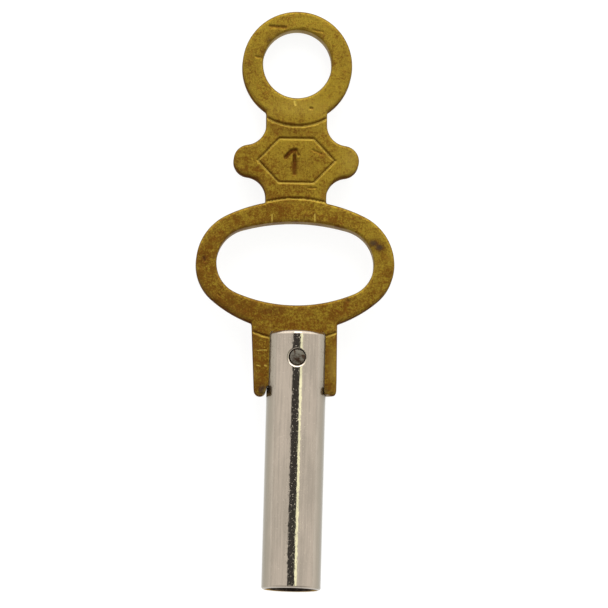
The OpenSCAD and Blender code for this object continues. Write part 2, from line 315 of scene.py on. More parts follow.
def bow_side(s):
    """Right side of the bow from the top of the ring to the foot of the loop, as arcs that touch.

    The middle of a hollow lies scallop_r beside the neck and scallop_r + lug_r from the middle of the lug.
    """
    lug_x = s.lug_reach - s.lug_r
    hollow_x = s.neck + s.scallop_r
    hollow_y = math.sqrt((s.scallop_r + s.lug_r) ** 2 - (hollow_x - lug_x) ** 2)
    tip = math.atan2(hollow_y, hollow_x - lug_x)
    hollow = arc(hollow_x + 1j * (s.lug_y + hollow_y), s.scallop_r, math.pi, math.pi + tip)
    loop_foot = oval_quarter(s.loop_y, s.loop_half_w, s.loop_drop, s.loop_hip_r, s.shank)
    return np.concatenate([
        arc(1j * s.ring_y, s.ring_r, QUARTER, -math.acos(s.neck / s.ring_r)),
        hollow,
        arc(lug_x + 1j * s.lug_y, s.lug_r, tip, -tip),
        upside_down(hollow, s.lug_y),
        oval_quarter(s.loop_y, s.loop_half_w, s.loop_rise, s.loop_shoulder_r, s.neck),
        upside_down(loop_foot, s.loop_y),
    ])


def bow_loops(s):
    """Outline, ring hole and finger hole of the bow, each with the brass on its left.

    The corners between the legs are known in the pipe's frame, so they are turned back by the lean.
    """
    side = bow_side(s)
    seat = PIPE_R + s.leg_clearance
    drops = np.array([s.right_leg, s.tongue, s.tongue, s.left_leg])
    corners = np.array([seat, seat, -seat, -seat]) - 1j * drops
    right_foot, right_top, left_top, left_foot = (corners - s.offset) * np.exp(-1j * s.lean)
    tip_x = s.left_taper - s.shank + s.left_tip_r
    tip_start = -math.acos((left_foot.real - tip_x) / s.left_tip_r)
    tip = arc(tip_x + 1j * (s.left_tip_r - s.left_leg), s.left_tip_r, tip_start, -math.pi)
    corner_y = s.right_corner_r - s.right_leg
    legs = np.concatenate([
        arc(s.shank - s.right_corner_r + 1j * corner_y, s.right_corner_r, 0, -QUARTER),
        [right_foot, right_top, left_top],
    ])
    outline = np.concatenate([side, legs, tip, side_to_side(side)])[::-1]
    ring_hole = arc(1j * (s.ring_y + s.ring_hole_rise), s.ring_hole_r, 2 * math.pi, 0, RING_POINTS)
    upper = oval_quarter(s.eye_y, s.eye_half_w, s.eye_half_h, s.eye_shoulder_r, 0)
    lower = upside_down(oval_quarter(s.eye_y, s.eye_half_w, s.eye_half_h, s.eye_hip_r, 0), s.eye_y)
    eye_side = np.concatenate([upper, lower])
    eye = np.concatenate([eye_side, side_to_side(eye_side)])
    return [eased(loop, LOOP_STEP, s.corner_ease) for loop in (outline, ring_hole, eye)]


def eased(points, step, ease):
    """A closed line at even steps, with its corners worn round, its unit normals to the left and its bend.

    The line's Fourier terms are damped by exp(-(k ease)^2 / 2), which is a bell-shaped average along it.
    The bend is one over the radius of curvature, positive where the line turns to the left.
    """
    closed = np.append(points, points[0])
    run = np.append(0, np.cumsum(np.abs(np.diff(closed))))
    count = int(run[-1] / step)
    at = np.arange(count) * run[-1] / count
    even = np.interp(at, run, closed.real) + 1j * np.interp(at, run, closed.imag)
    wave = 2 * math.pi * np.fft.fftfreq(count, run[-1] / count)
    terms = np.fft.fft(even) * np.exp(-0.5 * (wave * ease) ** 2)
    tangent = np.fft.ifft(1j * wave * terms)
    turning = np.fft.ifft(-(wave ** 2) * terms)
    bend = (np.conj(tangent) * turning).imag / np.abs(tangent) ** 3
    return np.fft.ifft(terms), 1j * tangent / np.abs(tangent), bend


def from_segment(p, a, b):
    """Distance of the points p from the straight line between a and b."""
    share = np.clip(((p - a) * np.conj(b - a)).real / abs(b - a) ** 2, 0, 1)
    return np.abs(p - a - share * (b - a))


# What is struck into the front of the bow, what use has left there, and painted shade and highlights

def soft(v, e):
    """v where it is positive and nought where it is negative, rounded over about e."""
    return (v + np.sqrt(v * v + e * e)) / 2


# Strokes of the numeral in the hexagon: start, end, half width and depth, in millimetres
NUMERAL = (
    (-0.14 + 13.95j, -0.12 + 13.35j, 0.14, 0.12),
    (-0.12 + 13.32j, -0.1 + 12.56j, 0.17, 0.08),
    (-0.72 + 13.66j, -0.36 + 14.06j, 0.16, 0.13),
    (-0.36 + 14.06j, -0.04 + 14.14j, 0.16, 0.13),
    (-0.02 + 14.18j, 0.14 + 13.82j, 0.09, 0.07),
)
# Dents and scratches, in the same form
MARKS = (
    (-1.88 + 22.56j, -0.84 + 22.5j, 0.12, 0.06),
    (-1.9 + 22.42j, -1.3 + 22.5j, 0.07, 0.03),
    (0.2 + 22.44j, 0.75 + 22.38j, 0.08, 0.025),
    (0.95 + 22.36j, 1.7 + 22.22j, 0.08, 0.025),
    (1.35 + 22.05j, 1.6 + 21.95j, 0.07, 0.02),
    (-2.8 + 20.48j, -2.4 + 20.4j, 0.1, 0.04),
    (0.9 + 17.02j, 1.02 + 17.0j, 0.09, 0.06),
    (1.08 + 14.16j, 1.65 + 13.92j, 0.1, 0.035),
    (0.8 + 11.57j, 1.34 + 11.58j, 0.07, 0.04),
    (-6.2 + 6.75j, -6.12 + 6.5j, 0.09, 0.04),
    (3.4 + 4.1j, 3.6 + 3.9j, 0.12, 0.03),
    (-5.2 + 4.3j, -5.05 + 4.15j, 0.06, 0.03),
)
# Scratches that shine, in the same form
SCRATCHES = (
    (-0.16 + 17.5j, -0.1 + 17.25j, 0.09, 0.03),
    (1.29 + 9.81j, 1.3 + 9.27j, 0.05, 0.03),
    (-1.6 + 9.75j, -1.6 + 9.1j, 0.04, 0.015),
    (-1.64 + 1.5j, -1.6 - 1.85j, 0.05, 0.012),
    (-2.5 + 0.5j, -1.85 + 0.54j, 0.025, 0.005),
    (-2.5 - 0.5j, -2.3 - 0.54j, 0.04, 0.006),
    (-1.98 - 0.5j, -1.86 - 0.54j, 0.05, 0.006),
)
# Stains and painted shade: middle, reach across, reach along and strength, in millimetres; rubbed where it
# is negative. The first six are painted shade along the upper edge of the ring's hole, and the two of
# strength one at the legs' tips beside the pipe are painted shade
BLOTS = (
    (-1.9 + 21.6j, 0.35, 0.4, 0.75),
    (-1.35 + 22.1j, 0.5, 0.25, 0.6),
    (-2.35 + 20.9j, 0.2, 0.45, 0.55),
    (1.6 + 21.9j, 0.4, 0.3, 0.4),
    (2.3 + 21.0j, 0.2, 0.6, 0.35),
    (1.2 + 22.2j, 0.6, 0.2, 0.45),
    (-0.2 + 15.5j, 1.8, 0.5, 0.5),
    (-6.15 + 6.7j, 0.25, 0.35, 0.75),
    (5.66 + 7.6j, 0.45, 0.34, 1.0),
    (5.25 + 7.88j, 0.5, 0.36, 0.95),
    (3.5 + 4.0j, 0.35, 0.2, 0.6),
    (-1.6 + 3.2j, 0.9, 0.35, 0.5),
    (2.44 - 1.75j, 0.2, 0.2, 0.6),
    (2.1 - 2.2j, 0.5, 0.45, 1.0),
    (-2.1 - 2.2j, 0.45, 0.6, 1.0),
    (-3.1 + 19.6j, 0.6, 1.6, 0.3),
    (0.3 + 13.2j, 1.6, 0.9, 0.25),
    (0.2 + 11.6j, 1.6, 0.5, 0.2),
    (-4.4 + 3.4j, 1.1, 0.8, 0.3),
    (0.1 + 17.0j, 2.0, 0.6, -0.3),
    (3.7 + 13.5j, 0.8, 0.9, -0.3),
    (2.6 - 0.6j, 0.3, 1.3, -0.25),
    (3.2 + 20.6j, 0.6, 1.4, 0.2),
    (-1.62 - 0.15j, 0.07, 1.7, -1.0),
)


def struck_lines(p, s):
    """Distance of the points p from the middle of each struck line, with the half width of that line."""
    corner = s.hexagon_flat + 1j * s.hexagon_h
    hexagon = np.array([s.hexagon_w, corner, -np.conj(corner), -s.hexagon_w, -corner, np.conj(corner)])
    hexagon = hexagon + 1j * s.lug_y
    on_neck = np.where(np.abs(p.real) < s.neck + s.line_w, 0, FAR_AWAY)
    lines = [(from_segment(p, a, b), s.line_w / 2) for a, b in zip(hexagon, np.roll(hexagon, -1))]
    under_ring = np.abs(np.abs(p - 1j * s.ring_y) - s.ring_r - s.ring_line_gap)
    lines.append((np.where(p.imag < s.ring_y, under_ring, FAR_AWAY) + on_neck, s.ring_line_w / 2))
    over_loop = np.abs(np.abs(p - 1j * (s.upper_line_y - s.loop_line_r)) - s.loop_line_r)
    lines.append((np.where(p.imag > s.loop_y, over_loop, FAR_AWAY) + on_neck, s.line_w / 2))
    under_loop = np.abs(np.abs(p - 1j * (s.lower_line_y + s.loop_line_r)) - s.loop_line_r)
    on_shank = (p.imag < s.loop_y - s.eye_half_h) & (np.abs(p.real) < s.shank + s.line_w)
    lines.append((np.where(on_shank, under_loop, FAR_AWAY), s.line_w / 2))
    return lines


def strokes(p):
    """Distance of the points p from each stroke and mark, with its half width and depth."""
    every = NUMERAL + MARKS + SCRATCHES
    return [(from_segment(p, a * MM, b * MM), w * MM, d * MM) for a, b, w, d in every]


def stains(p):
    """Stains and painted shade at the points p, which fade as exp(-(x / across)^2 - (y / along)^2); rubbed
    is negative.
    """
    dark, rubbed = np.zeros(p.shape), np.zeros(p.shape)
    for middle, across, along, strength in BLOTS:
        away = p / MM - middle
        here = strength * np.exp(-(away.real / across) ** 2 - (away.imag / along) ** 2)
        dark, rubbed = np.maximum(dark, here), np.minimum(rubbed, here)
    return dark + rubbed


def ridge(away, half, place, width):
    """Height of the burr beside a cut: exp(-((away / half - place) / width)^2)."""
    return np.exp(-((away / half - place) / width) ** 2)


def fading(away, half, start, slope):
    """One in the middle of a cut and nought outside it: start - slope away / half, kept between those."""
    return np.clip(start - slope * away / half, 0, 1)


def relief(p, s):
    """Depth of the front below its flat, how much dirt and painted shade lie there and how it shines or
    carries a painted highlight, at the points p.

    A struck line is a V of depth (half width - distance) / tan(slope), with dirt and painted shade above
    and a painted highlight below;
    a stroke is a rounded trough of depth d (1 - (distance / half width)^2). Both have a low burr, and
    the front swells a little, as a sum of sine waves.
    """
    depth, dirt_and_shade, shine_and_highlight = (np.zeros(p.shape) for _ in range(3))
    places = (p, p - 1j * LINE_SHADE, p + 1j * LINE_SHADE)
    for (away, half), (upper, _), (lower, _) in zip(*(struck_lines(place, s) for place in places)):
        cut = soft(half - away, LINE_SOFT) / math.tan(s.line_slope)
        burr = LINE_BURR * ridge(away, half, *LINE_RIDGE)
        depth = np.maximum(depth, cut) - burr
        # Dirt in the line with painted shade on its upper flank, and a painted highlight on its lower
        # flank
        dirt_and_shade = np.maximum(dirt_and_shade, LINE_DIRT_AND_SHADE * fading(upper, half, *DIRT_AND_SHADE_FADE))
        shine_and_highlight = np.maximum(shine_and_highlight, LINE_HIGHLIGHT * fading(lower, half, *HIGHLIGHT_FADE))
    for number, (away, half, deep) in enumerate(strokes(p)):
        cut = deep * soft(1 - (away / half) ** 2, STROKE_SOFT)
        burr = STROKE_BURR * deep * ridge(away, half, *STROKE_RIDGE)
        depth = np.maximum(depth, cut) - burr
        on_stroke = fading(away, half, *STROKE_FADE)
        if number < len(NUMERAL + MARKS):
            dirt_and_shade = np.maximum(dirt_and_shade, on_stroke * min(1, deep / FULL_DIRT))
        else:
            shine_and_highlight = np.maximum(shine_and_highlight, on_stroke)
    for across, along, phase, weight in SWELL_WAVES:
        depth = depth + SWELL * weight * np.sin(across * p.real / MM + along * p.imag / MM + phase)
    return depth, dirt_and_shade, shine_and_highlight


# Meshes

def add_object(name, data):
    """A new object in the scene."""
    made = bpy.data.objects.new(name, data)
    bpy.context.scene.collection.objects.link(made)
    return made


def new_piece(name, points, quads, triangles=(), slot=None, node=None, **attributes):
    """An object from whole arrays of points and faces, riding on the key and standing for a node."""
    quads = np.asarray(quads, np.int32).reshape(-1, 4)
    triangles = np.asarray(triangles, np.int32).reshape(-1, 3)
    sizes = np.concatenate([np.full(len(quads), 4), np.full(len(triangles), 3)])
    corners = np.concatenate([quads.ravel(), triangles.ravel()])
    mesh = bpy.data.meshes.new(name)
    mesh.vertices.add(len(points))
    mesh.vertices.foreach_set("co", np.asarray(points, np.float32).ravel())
    mesh.loops.add(len(corners))
    mesh.loops.foreach_set("vertex_index", corners.astype(np.int32))
    mesh.polygons.add(len(sizes))
    mesh.polygons.foreach_set("loop_start", (np.cumsum(sizes) - sizes).astype(np.int32))
    for key, values in attributes.items():
        mesh.attributes.new(key, "FLOAT", "POINT").data.foreach_set("value", values.astype(np.float32))
    mesh.update(calc_edges=True)
    if mesh.validate():
        raise RuntimeError(f"{name} has faces that Blender had to mend")
    piece = add_object(name, mesh)
    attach(piece, "root")
    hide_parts(node)
    return piece


def close_seams(piece, sharp_angle):
    """Joins the points where patches meet, turns the faces outwards and keeps hard edges hard."""
    mesh = piece.data
    work = bmesh.new()
    work.from_mesh(mesh)
    bmesh.ops.remove_doubles(work, verts=work.verts, dist=SEAM)
    bmesh.ops.dissolve_degenerate(work, edges=work.edges, dist=SEAM)
    bmesh.ops.recalc_face_normals(work, faces=work.faces)
    work.to_mesh(mesh)
    work.free()
    smooth(mesh, sharp_angle)


def smooth(mesh, sharp_angle):
    """Smooth shading with edges over the angle kept sharp."""
    mesh.polygons.foreach_set("use_smooth", np.ones(len(mesh.polygons), bool))
    mesh.set_sharp_from_angle(angle=sharp_angle)


def grid_quads(rows, columns, start, closed=False):
    """Faces of a grid of points numbered by rows from start; closed joins its last and first columns."""
    row, column = np.meshgrid(np.arange(rows - 1), np.arange(columns - (not closed)), indexing="ij")
    after = (column + 1) % columns
    here, above = start + row * columns, start + (row + 1) * columns
    return np.stack([here + column, here + after, above + after, above + column], axis=-1)


class Patches:
    """Grids of points that are gathered into one mesh."""

    def __init__(self):
        self.points, self.quads, self.count = [], [], 0

    def add(self, grid, closed=False, keep=None):
        """Adds a grid of shape rows, columns, 3; keep says which of its faces stay."""
        rows, columns = grid.shape[:2]
        quads = grid_quads(rows, columns, self.count, closed)
        self.quads.append(quads[keep] if keep is not None else quads.reshape(-1, 4))
        self.points.append(grid.reshape(-1, 3))
        self.count += rows * columns

    def arrays(self):
        """All points and all faces so far."""
        return np.concatenate(self.points), np.concatenate(self.quads)


def nearest(p, loops):
    """Distance of each point p from the loops, counted as negative outside the brass."""
    line = np.concatenate([points for points, _, _ in loops])
    normal = np.concatenate([normals for _, normals, _ in loops])
    chunks = np.array_split(p, len(p) // CHUNK + 1)
    index = np.concatenate([np.abs(chunk[:, None] - line).argmin(axis=1) for chunk in chunks])
    away = p - line[index]
    return np.abs(away) * np.sign((away * np.conj(normal[index])).real)


def hex_grid(low, high, step):
    """Points of an even triangular grid of that step between two corners."""
    rows = np.arange(low.imag, high.imag, step * math.sqrt(3) / 2)
    columns = np.arange(low.real, high.real, step)
    shift = np.where(np.arange(len(rows)) % 2, step / 2, 0)
    return (columns[None, :] + shift[:, None] + 1j * rows[:, None]).ravel()


def fill(rims, inner):
    """Triangles between closed rims and inner points, numbered in that order, as a Delaunay mesh.

    The first rim is the outline. A triangle with all its corners on one of the others lies in that hole.
    """
    points = np.concatenate([*rims, inner])
    owners = [np.full(len(rim), k) for k, rim in enumerate(rims)]
    owner = np.concatenate([*owners, np.full(len(inner), -1)])
    edges, start = [], 0
    for rim in rims:
        number = start + np.arange(len(rim))
        edges.append(np.stack([number, np.roll(number, -1)], axis=1))
        start += len(rim)
    flat = np.column_stack([points.real, points.imag]) / MM
    made = delaunay_2d_cdt(flat.tolist(), np.concatenate(edges).tolist(), [], FILL_INSIDE, FILL_NEAR)
    if len(made[0]) != len(points):
        raise RuntimeError("the fill gained or lost points")
    source = np.array(made[3]).ravel()
    corners = source[np.array(made[2])]
    own = owner[corners]
    in_hole = (own[:, 0] > 0) & (own[:, 0] == own[:, 1]) & (own[:, 0] == own[:, 2])
    return corners[~in_hole]


def near_detail(p, s):
    """Whether each point p lies in or beside a struck line, the numeral or a mark."""
    near = np.zeros(p.shape, bool)
    for away, half, *_ in struck_lines(p, s) + strokes(p):
        near |= away < half + MARK_MARGIN
    return near


def inner_points(s, loops, step, inset, detail):
    """Points for the inside of a face, clear of its rims by inset, finer where there is detail."""
    low = -s.loop_half_w - 1j * s.left_leg
    high = s.loop_half_w + 1j * (s.ring_y + s.ring_r)
    points = hex_grid(low, high, step)
    if detail:
        finer = hex_grid(low, high, FINE_STEP)
        points = np.concatenate([points[~near_detail(points, s)], finer[near_detail(finer, s)]])
    away = nearest(points, loops)
    clear = away > inset + CLEAR_STEPS * step
    return points[clear], away[clear]


def in_seat(s, p):
    """One on edges beside the pipe, up to edge_r from its wall, and nought from twice that onwards."""
    return np.clip((PIPE_R - np.abs(p.real + s.offset)) / s.edge_r + 2, 0, 1) * (p.imag < -s.tongue / 2)


def round_edge(s, r, line, bend):
    """Rounding of an edge along a loop, as a column: r, or less in the seat and at tight outward corners.

    It is (r^-4 + (bend / TIGHT_BEND)^4)^(-1/4), where only outward bends count.
    """
    wide = r + (s.seat_edge_r - r) * in_seat(s, line)
    tight = np.maximum(bend, 0) / TIGHT_BEND
    return (wide ** -4 + tight ** 4)[:, None] ** -0.25


def band_quads(along, rows, start):
    """Faces of a closed band of points numbered from start, with rows points at each of its places."""
    here = np.arange(along)[:, None] * rows + np.arange(rows - 1)
    after = np.roll(here, -1, axis=0)
    return start + np.stack([here, here + 1, after + 1, after], axis=-1).reshape(-1, 4)


def on_hole_wall(s, p):
    """True on the walls of the ring's hole and of the finger hole, at the points p."""
    in_ring = np.abs(p - 1j * (s.ring_y + s.ring_hole_rise)) < s.ring_hole_r + s.edge_r
    eye = p - 1j * s.eye_y
    across, along = (s.eye_half_w + s.loop_half_w) / 2, (s.eye_half_h + s.loop_rise) / 2
    return in_ring | ((eye.real / across) ** 2 + (eye.imag / along) ** 2 < 1)


def hugging(s, x, y, z):
    """Sideways shift of the right leg's inner edge towards the pipe, in the pipe's frame.

    The wall x = seat becomes a share of the way to the cylinder x^2 + z^2 = seat^2, and the shift fades
    as exp(-(x - seat)^2 / reach^2) across the leg and evenly above the tongue's foot.
    """
    seat = PIPE_R + s.leg_clearance
    sag = seat - np.sqrt(seat ** 2 - z ** 2)
    across = np.exp(-((x - seat) / s.hug_reach) ** 2)
    return -s.hug * sag * across * np.clip((-s.tongue - y) / s.hug_reach + 1, 0, 1)


def edge_band(s, line, normal, bend):
    """Places, heights and insets of the edge along a loop, from front to back at each of its points.

    The profile is a quarter round of the front, the wall and a quarter round of the back.
    """
    turn = np.linspace(0, QUARTER, ROUND_ROWS)
    front, back = (round_edge(s, r, line, bend) for r in (s.edge_r, s.back_edge_r))
    inset = np.hstack([front * (1 - np.sin(turn)), 0 * front, back * (1 - np.cos(turn[::2]))])
    fall, lift = front * (1 - np.cos(turn)), back * (1 - np.sin(turn[::2]))
    height = np.hstack([PLATE_HALF - fall, 0 * front, lift - PLATE_HALF])
    return line[:, None] + normal[:, None] * inset, height, inset


def bow_mesh(s):
    """Points, faces, wear, painted shade and painted highlights of the bow.

    An edge is carried along each loop, the two faces between the rims are filled, and the front is sunk by
    the relief.
    """
    loops = bow_loops(s)
    points, heights, edge, quads, triangles, rims = [], [], [], [], [], ([], [])
    count = 0
    for line, normal, bend in loops:
        band, height, inset = edge_band(s, line, normal, bend)
        rows = band.shape[1]
        quads.append(band_quads(len(line), rows, count))
        for rim, place in zip(rims, (0, rows - 1)):
            rim.append((band[:, place], count + np.arange(len(line)) * rows + place))
        points.append(band.ravel())
        heights.append(height.ravel())
        edge.append(inset.ravel())
        count += band.size
    faces = ((1, s.edge_r, FACE_STEP, True), (-1, s.back_edge_r, BACK_STEP, False))
    for rim, (way, clear, step, detail) in zip(rims, faces):
        inner, away = inner_points(s, loops, step, clear, detail)
        number = np.concatenate([n for _, n in rim] + [count + np.arange(len(inner))])
        triangles.append(number[fill([p for p, _ in rim], inner)][:, ::way])
        points.append(inner)
        heights.append(np.full(len(inner), way * PLATE_HALF))
        edge.append(away)
        count += len(inner)
    p, z = np.concatenate(points), np.concatenate(heights)
    depth, dirt_and_shade, shine_and_highlight = relief(p, s)
    on_front = np.clip((z - PLATE_HALF + s.edge_r) / s.edge_r, 0, 1)
    # The side walls are darkened by tarnish and painted shade, less in the holes and not in the seat
    side = np.clip((PLATE_HALF - np.abs(z)) / s.edge_r, 0, 1) * (1 - in_seat(s, p))
    side = side * np.where(on_hole_wall(s, p), HOLE_TARNISH_AND_SHADE, 1)
    z = z - depth * on_front
    placed = s.offset + p * np.exp(1j * s.lean)
    x = placed.real + hugging(s, placed.real, placed.imag, z)
    points = np.stack([AXIS_X + x, PIN_Y + placed.imag, AXIS_Z + z], axis=1)
    rub = np.exp(-np.concatenate(edge) / RUB_REACH)
    wear_and_shade = {"dirt_and_shade": dirt_and_shade * on_front, "shine_and_highlight": shine_and_highlight * on_front, "stain_and_shade": stains(p) * on_front}
    return points, np.concatenate(quads), np.concatenate(triangles), {**wear_and_shade, "side": side, "rub": rub}


def wall_r(s, theta, y):
    """Radius of the pipe's wall, uneven by a sum of sine waves, but true at the slot's floor."""
    wave = sum(weight * np.sin(along * y / MM + turns * theta) for along, turns, weight in WALL_WAVES)
    return PIPE_R + UNEVEN * wave * min(1, abs(y - s.slot_floor) / UNEVEN_FADE)


def pressed(s, theta, share):
    """Factor by which the wall stands out where the edges of the slot are pressed flatter.

    Below the angle flare it is 1 + PRESS (flare - angle)^2, where 0.5 would run on along the tangent.
    """
    angle_up = np.minimum(theta, math.pi - theta)
    return 1 + PRESS * share * np.maximum(s.flare - angle_up, 0) ** 2


def ring_points(r, y, theta):
    """Points at radius r, height y over the mouth and angle theta round the axis of the pipe."""
    r, y, theta = np.broadcast_arrays(r, y, theta)
    return np.stack([r * np.cos(theta), y, r * np.sin(theta)], axis=-1)


def pipe_angles(s):
    """Angles round the pipe: across the slot's front half, and across one open side of the slot."""
    slot = math.asin(s.slot_half / PIPE_R)
    block = math.acos(HOLE_BLOCK / PIPE_R)
    front = np.concatenate([
        np.linspace(slot, block, SIDE_FACES + 1),
        np.linspace(block, math.pi - block, BLOCK_FACES + 1)[1:],
        np.linspace(math.pi - block, math.pi - slot, SIDE_FACES + 1)[1:],
    ])
    return front, np.linspace(-slot, slot, SLOT_COLUMNS)


def pipe_tube(s, front, side):
    """The pipe below the slot, as rows round the axis: drill point, socket, mouth, rim and wall.

    The square's wall is at socket_half / max(|cos|, |sin|), and the countersink's cone ends on it.
    """
    theta = np.concatenate([side, front[1:], side[1:] + math.pi, front[1:-1] + math.pi])
    square = s.socket_half / np.maximum(np.abs(np.cos(theta)), np.abs(np.sin(theta)))
    cone_end = (s.countersink_r - square) / math.tan(s.countersink_slope)
    tip = s.pilot_depth + s.socket_half / math.tan(s.point_angle)
    turn = np.linspace(0, QUARTER, ROUND_ROWS)
    inside = [(0, tip), (s.socket_half, s.pilot_depth), (s.socket_half, s.socket_depth)]
    inside += [(square, s.socket_depth), (square, cone_end), (s.countersink_r, 0)]
    inside.append((s.countersink_r + WEAR, 0))
    rim = [
        (PIPE_R - s.mouth_rim_r * (1 - math.sin(t)), s.mouth_rim_r * (1 - math.cos(t)))
        for t in turn[:-1]
    ]
    wall = [(wall_r(s, theta, y), y) for y in np.linspace(s.mouth_rim_r, s.slot_floor, TUBE_ROWS)]
    return np.stack([ring_points(r, y, theta) for r, y in inside + rim + wall])


def pipe_half(s, theta):
    """Front half of the slotted end: its sheet, which of its faces stay, and rings round the cross hole.

    The sheet goes up the wall, over the rounded rim, down to the slot and back along the slot's wall. On
    both walls a block is left out round the hole.
    """
    pin = PIN_Y - PIPE_LOW[1]
    y = np.concatenate([
        np.linspace(s.slot_floor, pin - HOLE_BLOCK, FLOOR_FACES + 1),
        np.linspace(pin - HOLE_BLOCK, pin + HOLE_BLOCK, BLOCK_FACES + 1)[1:],
        np.linspace(pin + HOLE_BLOCK, PIPE_LENGTH - s.top_rim_r, RIM_FACES + 1)[1:],
    ])
    turn = np.linspace(0, QUARTER, RIM_ROWS)[1:]
    # The wall is true at the slot's floor and pressed out from the next row on
    share = np.clip((y - s.slot_floor) / (y[1] - y[0]), 0, 1)
    wall_radii = [wall_r(s, theta, v) * pressed(s, theta, k) for v, k in zip(y, share)]
    wall = np.stack([ring_points(r, v, theta) for r, v in zip(wall_radii, y)])
    rim_r = PIPE_R - s.top_rim_r * (1 - np.cos(turn))
    rim_y = PIPE_LENGTH - s.top_rim_r * (1 - np.sin(turn))
    rim = np.stack([ring_points(r * pressed(s, theta, 1), v, theta) for r, v in zip(rim_r, rim_y)])
    rim[..., 2] = np.maximum(rim[..., 2], s.slot_half + THIN_RIM)
    shell = np.concatenate([wall, rim])
    shell[:, [0, -1], 2] = s.slot_half
    inside = shell[::-1].copy()
    inside[..., 2] = s.slot_half
    sheet = np.concatenate([shell, inside])
    keep = np.ones((len(sheet) - 1, len(theta) - 1), bool)
    last_row, last_column = FLOOR_FACES + BLOCK_FACES, SIDE_FACES + BLOCK_FACES
    for way in (1, -1):
        keep[::way][FLOOR_FACES:last_row, SIDE_FACES:last_column] = False
    block = wall[FLOOR_FACES:last_row + 1, SIDE_FACES:last_column + 1]
    return sheet, keep, hole_rings(s, block, pin)


def hole_rings(s, block, pin):
    """Rings from the block's border to the cross hole, over its rim, through the wall and back out.

    The rim's rounding is hole_rim_r (1 - hole_wear cos(angle)), with the angle from its least worn side.
    """
    border = np.concatenate([block[0, :-1], block[:-1, -1], block[-1, :0:-1], block[:0:-1, 0]])
    across = border[:, 0] + 1j * (border[:, 1] - pin)
    spoke = across / np.abs(across)
    turn = np.linspace(0, QUARTER, RIM_ROWS)[1:, None]
    counts = (SPOKE_ROWS, THROUGH_ROWS, THROUGH_ROWS + 1)
    share, out, fall = (np.linspace(0, 1, rows)[:, None] for rows in counts)
    rounding = s.hole_rim_r * (1 - s.hole_wear * np.cos(np.angle(spoke) - LEAST_WORN))
    outer = across * (1 - share) + spoke * (s.hole_r + rounding) * share
    round_over = spoke * (s.hole_r + rounding * (1 - np.sin(turn)))
    through = np.broadcast_to(spoke * s.hole_r, (THROUGH_ROWS, len(spoke)))
    back = spoke * s.hole_r * (1 - out) + across * out
    flat = np.concatenate([outer, round_over, through, back])
    top = np.sqrt(PIPE_R ** 2 - flat.real ** 2)
    sunk = top[len(outer):len(outer) + len(round_over)] - rounding * (1 - np.cos(turn))
    depth = sunk[-1] * (1 - fall[1:]) + s.slot_half * fall[1:]
    z = np.concatenate([top[:len(outer)], sunk, depth, np.full(back.shape, s.slot_half)])
    rings = np.stack([flat.real, flat.imag + pin, z], axis=-1)
    rings[0] = border
    return rings


def slot_floor(s, theta, side):
    """The floor of the slot: a rectangle between the halves, and a segment at each open side."""
    x, z = PIPE_R * np.cos(theta), PIPE_R * np.sin(side)
    z[[0, -1]] = -s.slot_half, s.slot_half
    middle = np.stack(np.broadcast_arrays(x, s.slot_floor, z[:, None]), axis=-1)
    reach = np.stack([np.full(len(z), x[0]), PIPE_R * np.cos(side)])
    right = np.stack(np.broadcast_arrays(reach, s.slot_floor, z), axis=-1)
    return middle, right, right * (-1, 1, 1)


def pipe_mesh(s):
    """Points and faces of the whole pipe, placed in the frame."""
    front, side = pipe_angles(s)
    patches = Patches()
    patches.add(pipe_tube(s, front, side), closed=True)
    sheet, keep, rings = pipe_half(s, front)
    for way in (1, -1):
        patches.add(sheet * (1, 1, way), keep=keep)
        patches.add(rings * (1, 1, way), closed=True)
    for patch in slot_floor(s, front, side):
        patches.add(patch)
    points, quads = patches.arrays()
    return points + (AXIS_X, PIPE_LOW[1], AXIS_Z), quads, *pipe_wear_and_shade(points, s)


def pipe_wear_and_shade(points, s):
    """Painted shade, darkening and worn brass on the pipe, at points over its mouth.

    Painted shade lies in the mouth, the cross hole and beside the legs, and the pipe is darker along the
    slot; the mouth's lower rim is worn to brass, shown on its back half only as a painted highlight.
    """
    x, y, z = points.T
    r = np.hypot(x, z)
    face = PIPE_R - s.mouth_rim_r - s.countersink_r - WEAR
    # Painted shade on the mouth's face and inside the bore
    mouth_shade = np.clip(1 - (r - s.countersink_r - WEAR) / face, 0, 1) * (y < s.mouth_rim_r)
    mouth_shade = np.where((r < s.countersink_r) & (y < s.slot_floor), MOUTH_SHADE, mouth_shade)
    from_pin = np.hypot(x, y - PIN_Y + PIPE_LOW[1])
    # Painted shade on the wall of the cross hole
    in_hole = np.clip(1 - (from_pin - s.hole_r) / WEAR, 0, 1) * (r < PIPE_R - 2 * s.hole_rim_r)
    over_floor = y - s.slot_floor
    by_slot = np.exp(-((np.abs(z) - s.slot_half) / WEAR) ** 2) * (over_floor > 0) * (r > PIPE_R - WEAR)
    fade = np.where(over_floor < 0, -over_floor / LEG_SHADE_DOWN, over_floor / LEG_SHADE_UP)
    # Painted shade where the legs shadow the pipe beside them
    leg_shade = LEG_SHADE * np.exp(-((PIPE_R - np.abs(x)) / LEG_SHADE_REACH) ** 2) * np.clip(1 - fade, 0, 1)
    on_rim = np.clip(1 - y / s.mouth_rim_r, 0, 1) * np.clip((r - s.countersink_r) / WEAR, 0, 1)
    # Worn brass only on the rim's back half, away from the camera, as a painted highlight
    upper = np.clip(0.5 + 2 * z / PIPE_R, 0, 1)
    return np.maximum.reduce([mouth_shade, in_hole, by_slot, leg_shade]), on_rim * (1 - upper)


